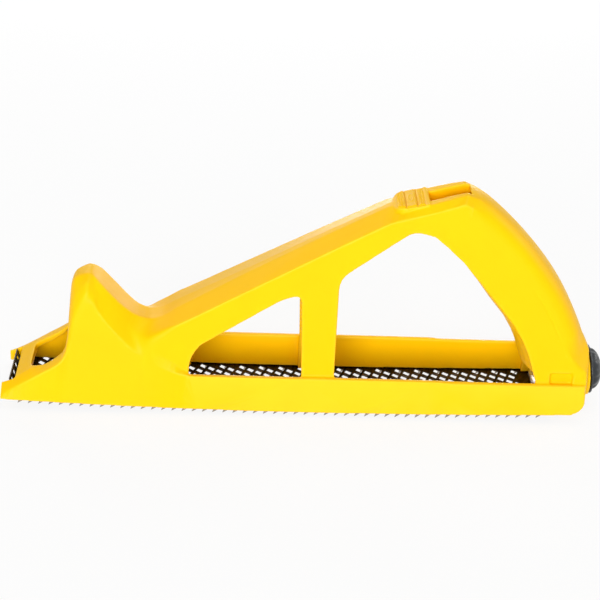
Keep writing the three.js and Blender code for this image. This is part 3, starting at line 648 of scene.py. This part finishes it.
# Thumb pad: three panels of raised grain on the moulded pad, each a grid between two (X, Z) places
gripPanels = {
    "front": {"from": (0.03775, 0.10299), "to": (0.04105, 0.10402), "relief": "studs"},
    "middle": {"from": (0.04190, 0.10386), "to": (0.04600, 0.10500), "relief": "ring"},
    "rear": {"from": (0.04690, 0.10490), "to": (0.04992, 0.10566), "relief": "studs"},
}
gripGrain = {
    "halfWidth": 0.0088,
    "roundEnd": 0.0415,
    "roundLength": 0.0056,
    "roundMost": 0.95,
    "rise": 0.00008,
    "rim": 0.00035,
    "tuck": 0.0002,
    "height": 0.00017,
    "stud": 0.00120,
    "studCrown": 2.0,
    "studRim": (0.0006, 0.3),
    "ring": (0.00105, 0.0034),
    "ringWidth": 0.25,
    "step": 0.00012,
    "wall": 0.0004,
}


# The relief is the product of two slanting cosines for the studs, and a bell round an ellipse for the ring
def gripRelief(kind, x, y, middle, rim, values):
    if kind == "ring":
        away = np.hypot((x - middle) / values["ring"][0], y / values["ring"][1])
        return np.exp(-(((away - 1) / values["ringWidth"]) ** 2))
    turn = math.pi / values["stud"]
    studs = np.clip(np.cos(turn * (x + y)) * np.cos(turn * (x - y)) * values["studCrown"], 0, 1)
    fade, least = values["studRim"]
    return studs * np.clip(rim / fade - least, 0, 1)


# Height is the line from one end to the other, plus a rise inside the panel's rim, plus the relief.
# The front end is round: the half-width shrinks by the root of 1 less the square of the way ahead
def addGripPanel(name, panel, values):
    start, startHeight = panel["from"]
    end, endHeight = panel["to"]
    rows = int(round((end - start) / values["step"]))
    columns = int(round(2 * values["halfWidth"] / values["step"]))
    u, v = np.meshgrid(np.linspace(0, 1, rows + 1), np.linspace(-1, 1, columns + 1), indexing="ij")
    x = start + u * (end - start)
    ahead = np.clip((values["roundEnd"] - x) / values["roundLength"], 0, values["roundMost"])
    half = values["halfWidth"] * np.sqrt(1 - ahead * ahead)
    y = v * half
    rim = np.minimum(np.minimum(u, 1 - u) * (end - start), (1 - np.abs(v)) * half)
    inside = np.clip(rim / values["rim"], 0, 1)
    relief = gripRelief(panel["relief"], x, y, (start + end) / 2, rim, values)
    z = startHeight + u * (endHeight - startHeight) + inside * values["rise"]
    z += inside * relief * values["height"] - (1 - inside) * values["tuck"]
    mesh = gridMesh("grip_panel_" + name, np.stack([x, y, z], axis=-1))
    piece = addPiece("grip_panel_" + name, mesh, "body", yellowMoulding)
    wall = piece.modifiers.new("backing", "SOLIDIFY")
    wall.thickness = values["wall"]
    wall.offset = -1.0
    smoothFaces(mesh)


for panelName, panelValues in gripPanels.items():
    addGripPanel(panelName, panelValues, gripGrain)
print("pad panels made")

# Small hardware


# Gives a CAD node that the scene keeps as it is one material
def dressNode(node, material):
    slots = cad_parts[node].data.materials
    slots.clear()
    slots.append(material)


dressNode("blade", bladeSteel)
dressNode("knob_nut", brassInsert)

screwLine = {"seat": (0.135678, 0.0, 0.0177), "direction": (0.996566, 0.0, 0.082808)}


# Points given as (distance along the screw, radius, angle) arrays, placed round the screw's line
def roundScrew(along, radius, angle):
    seat = np.array(screwLine["seat"])
    direction = np.array(screwLine["direction"])
    side = np.array([0.0, 1.0, 0.0])
    up = np.cross(side, direction)
    sideways = (radius * np.cos(angle))[..., None] * side
    upward = (radius * np.sin(angle))[..., None] * up
    return seat + along[..., None] * direction + sideways - upward


# The head's profile is given by distances from its face and from its rear, with a radius for each.
# The thread is a V of the given slope with flat crests, and comes in over its fade
screwValues = {
    "head": -0.0254,
    "headHeight": 0.0018,
    "fromFace": (0.0, 0.0, 0.0001, 0.0006),
    "fromRear": (-0.0003, 0.0, 0.0),
    "headRadii": (0.0, 0.0026, 0.0034, 0.004, 0.004, 0.0037, 0.0025),
    "radius": 0.0025,
    "end": 0.0046,
    "tip": 0.0006,
    "threadStart": -0.0208,
    "neck": 0.0006,
    "pitch": 0.00125,
    "stepsPerTurn": 12,
    "threadDepth": 0.00062,
    "threadSlope": 2.3,
    "threadFlat": 0.12,
    "threadFade": 0.0012,
    "columns": 40,
}


# The radius follows the head's profile; on the shank it dips by a V that climbs one pitch a turn
def makeScrew(values):
    head = values["head"]
    rear = head + values["headHeight"]
    headAlong = [head + distance for distance in values["fromFace"]]
    headAlong += [rear + distance for distance in values["fromRear"]]
    steps = int((values["end"] - values["threadStart"]) / values["pitch"] * values["stepsPerTurn"])
    shank = np.linspace(values["threadStart"] - values["neck"], values["end"], steps)
    along = np.concatenate([headAlong, shank, [values["end"]]])
    radius = np.concatenate([values["headRadii"], np.full(steps, values["radius"]), [0.0]])
    angle = np.linspace(0, 2 * math.pi, values["columns"], endpoint=False)
    s, a = np.meshgrid(along, angle, indexing="ij")
    r = np.repeat(radius[:, None], len(angle), axis=1)
    phase = (s / values["pitch"] - a / (2 * math.pi)) % 1.0
    cut = np.clip(np.abs(phase - 0.5) * values["threadSlope"] - values["threadFlat"], 0, 1)
    fade = np.clip((s - values["threadStart"]) / values["threadFade"], 0, 1)
    row = np.arange(len(along))
    onShank = ((row >= len(headAlong)) & (row < len(headAlong) + steps))[:, None]
    r = r - np.where(onShank, cut * fade * values["threadDepth"], 0.0)
    tip = values["tip"]
    pointed = values["radius"] - tip + np.clip((values["end"] - s) / tip, 0, 1) * tip
    r = np.where(onShank, np.minimum(r, pointed), r)
    mesh = gridMesh("threaded_screw", roundScrew(s, r, a), closedRound=True)
    closePoles(mesh)
    piece = addPiece("threaded_screw", mesh, "puller", platedSteel)
    smoothFaces(mesh, sharpAngle=40)
    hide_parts("tension_screw")


makeScrew(screwValues)

# The pocket is the hollow in the knob's front that holds the nut, and roll the radius of the flange's rim
knobValues = {
    "seatGap": 0.0003,
    "radius": 0.01185,
    "roll": 0.0005,
    "rollSteps": 7,
    "rollGap": 0.0001,
    "faceRadius": 0.0105,
    "flange": 0.0013,
    "fillet": 0.0004,
    "domeRadius": 0.0102,
    "domeSteps": 36,
    "domeSpacing": 0.7,
    "height": 0.0068,
    "pocketRadius": 0.0047,
    "pocketDepth": 0.0048,
    "scallops": 12,
    "scallopDepth": 0.00045,
    "scallopReach": 0.62,
    "scallopPower": 3,
    "columns": 192,
}


# A flange with a rolled rim, then a dome whose radius is the root of 1 less the square of its height share.
# The scallops take a rounded wave off the dome's radius, deepest just above the flange
def makeKnob(values):
    flange, height = values["flange"], values["height"]
    rim = np.linspace(-math.pi / 2, math.pi / 2, values["rollSteps"])
    middle = flange / 2
    rimRadius = values["radius"] - values["roll"] + values["roll"] * np.cos(rim)
    rimHeight = middle + (middle - values["rollGap"]) * np.sin(rim)
    lift = np.linspace(0, 1, values["domeSteps"]) ** values["domeSpacing"]
    domeHeight = flange + (height - flange) * np.sin(lift * math.pi / 2)
    domeRadius = values["domeRadius"] * np.cos(lift * math.pi / 2)
    pocket, deep = values["pocketRadius"], values["pocketDepth"]
    along = np.concatenate([[deep, deep, 0.0, 0.0], rimHeight, [flange], domeHeight])
    radius = np.concatenate([[0.0, pocket, pocket, values["faceRadius"]], rimRadius,
                             [values["domeRadius"] + values["fillet"]], domeRadius])
    domeCut = np.sin(np.clip(1 - lift, 0, 1) * math.pi * values["scallopReach"])
    cut = np.concatenate([np.zeros(len(along) - len(lift)), domeCut])
    angle = np.linspace(0, 2 * math.pi, values["columns"], endpoint=False)
    s, a = np.meshgrid(along, angle, indexing="ij")
    wave = np.abs(np.cos(a * values["scallops"] / 2)) ** values["scallopPower"]
    r = np.maximum(radius[:, None] - cut[:, None] * wave * values["scallopDepth"], 0)
    mesh = gridMesh("domed_knob", roundScrew(s + values["seatGap"], r, a), closedRound=True)
    closePoles(mesh)
    piece = addPiece("domed_knob", mesh, "knob", blackMoulding)
    smoothFaces(mesh, sharpAngle=40)
    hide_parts("knob")


makeKnob(knobValues)

hookValues = {"bevel": 0.00025, "segments": 2, "bevelAngle": 40, "sharpAngle": 50}


# The bent plate from the source, with its edges rolled by a narrow bevel
def makeHook(values):
    piece = addPiece("hook_plate", weldedMesh("tension_hook"), "puller", platedSteel)
    bevel = piece.modifiers.new("rolled_edges", "BEVEL")
    bevel.width = values["bevel"]
    bevel.segments = values["segments"]
    bevel.limit_method = "ANGLE"
    bevel.angle_limit = math.radians(values["bevelAngle"])
    smoothFaces(piece.data, values["sharpAngle"])
    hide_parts("tension_hook")


makeHook(hookValues)
print("hardware finished")

# Stage

# The floor glows by its lift for the rays that look, and the sky lights at its strength and looks white
stageValues = {"halfWidth": 5.0, "floorColour": (0.9, 0.9, 0.9, 1), "floorLift": 0.87, "skyStrength": 0.35}


# 1 for what the camera, a reflection or glass sees, and 0 for what only lights the object
def lookingRays(tree, x, y):
    path = placeNode(tree, "ShaderNodeLightPath", x, y)
    seen = mathNode(tree, "ADD", x + 180, y, path.outputs["Is Camera Ray"], path.outputs["Is Glossy Ray"])
    return mathNode(tree, "ADD", x + 360, y, seen, path.outputs["Is Transmission Ray"], clamp=True)


def addFloor(values):
    half = values["halfWidth"]
    corners = [(-half, -half, 0), (half, -half, 0), (half, half, 0), (-half, half, 0)]
    mesh = bpy.data.meshes.new("floor")
    mesh.from_pydata(corners, [], [(0, 1, 2, 3)])
    floor = bpy.data.objects.new("floor", mesh)
    bpy.context.scene.collection.objects.link(floor)
    material = bpy.data.materials.new("pale_floor")
    material.use_nodes = True
    tree = material.node_tree
    tree.nodes.clear()
    output = placeNode(tree, "ShaderNodeOutputMaterial", 700, 0)
    diffuse = placeNode(tree, "ShaderNodeBsdfDiffuse", 0, 100)
    diffuse.inputs[0].default_value = values["floorColour"]
    glow = placeNode(tree, "ShaderNodeEmission", 200, -150)
    both = placeNode(tree, "ShaderNodeMixShader", 450, 0)
    lift = mathNode(tree, "MULTIPLY", 0, -150, lookingRays(tree, -600, -150), values["floorLift"])
    tree.links.new(lift, both.inputs[0])
    tree.links.new(diffuse.outputs[0], both.inputs[1])
    tree.links.new(glow.outputs[0], both.inputs[2])
    tree.links.new(both.outputs[0], output.inputs[0])
    mesh.materials.append(material)


def addSky(values):
    world = bpy.data.worlds.new("plain_studio")
    bpy.context.scene.world = world
    world.use_nodes = True
    tree = world.node_tree
    background = tree.nodes["Background"]
    background.inputs["Color"].default_value = (1, 1, 1, 1)
    strength = rangeNode(tree, -200, 0, lookingRays(tree, -800, 0), 0.0, 1.0, values["skyStrength"], 1.0)
    tree.links.new(strength, background.inputs["Strength"])


addFloor(stageValues)
addSky(stageValues)

# Each lamp's place, the point that it faces, its width and height, and its watts
lamps = {
    "front_softbox": ((-0.32, -1.78, 0.55), (0.0, 0.0, 0.04), (1.3, 0.8), 32.5),
    "top_softbox": ((0.3, 0.1, 1.6), (0.0, 0.0, 0.05), (1.0, 0.8), 5.0),
    "horn_strip": ((0.12, 1.0, 0.10), (-0.05, 0.0, 0.05), (0.6, 0.2), 3.2),
    "valley_strip": ((-0.3, 1.0, 0.48), (-0.07, 0.0, 0.05), (0.5, 0.3), 2.4),
    "arch_softbox": ((1.3, 0.35, 0.55), (0.11, 0.0, 0.06), (0.5, 0.5), 3.0),
}


def addLamp(name, place, aim, size, watts):
    data = bpy.data.lights.new(name, "AREA")
    data.shape = "RECTANGLE"
    data.size, data.size_y = size
    data.energy = watts
    lamp = bpy.data.objects.new(name, data)
    lamp.location = place
    lamp.rotation_euler = (Vector(aim) - Vector(place)).to_track_quat("-Z", "Y").to_euler()
    bpy.context.scene.collection.objects.link(lamp)


for lampName, lampValues in lamps.items():
    addLamp(lampName, *lampValues)
bpy.context.scene.view_settings.view_transform = "Standard"
print("stage and lamps set")
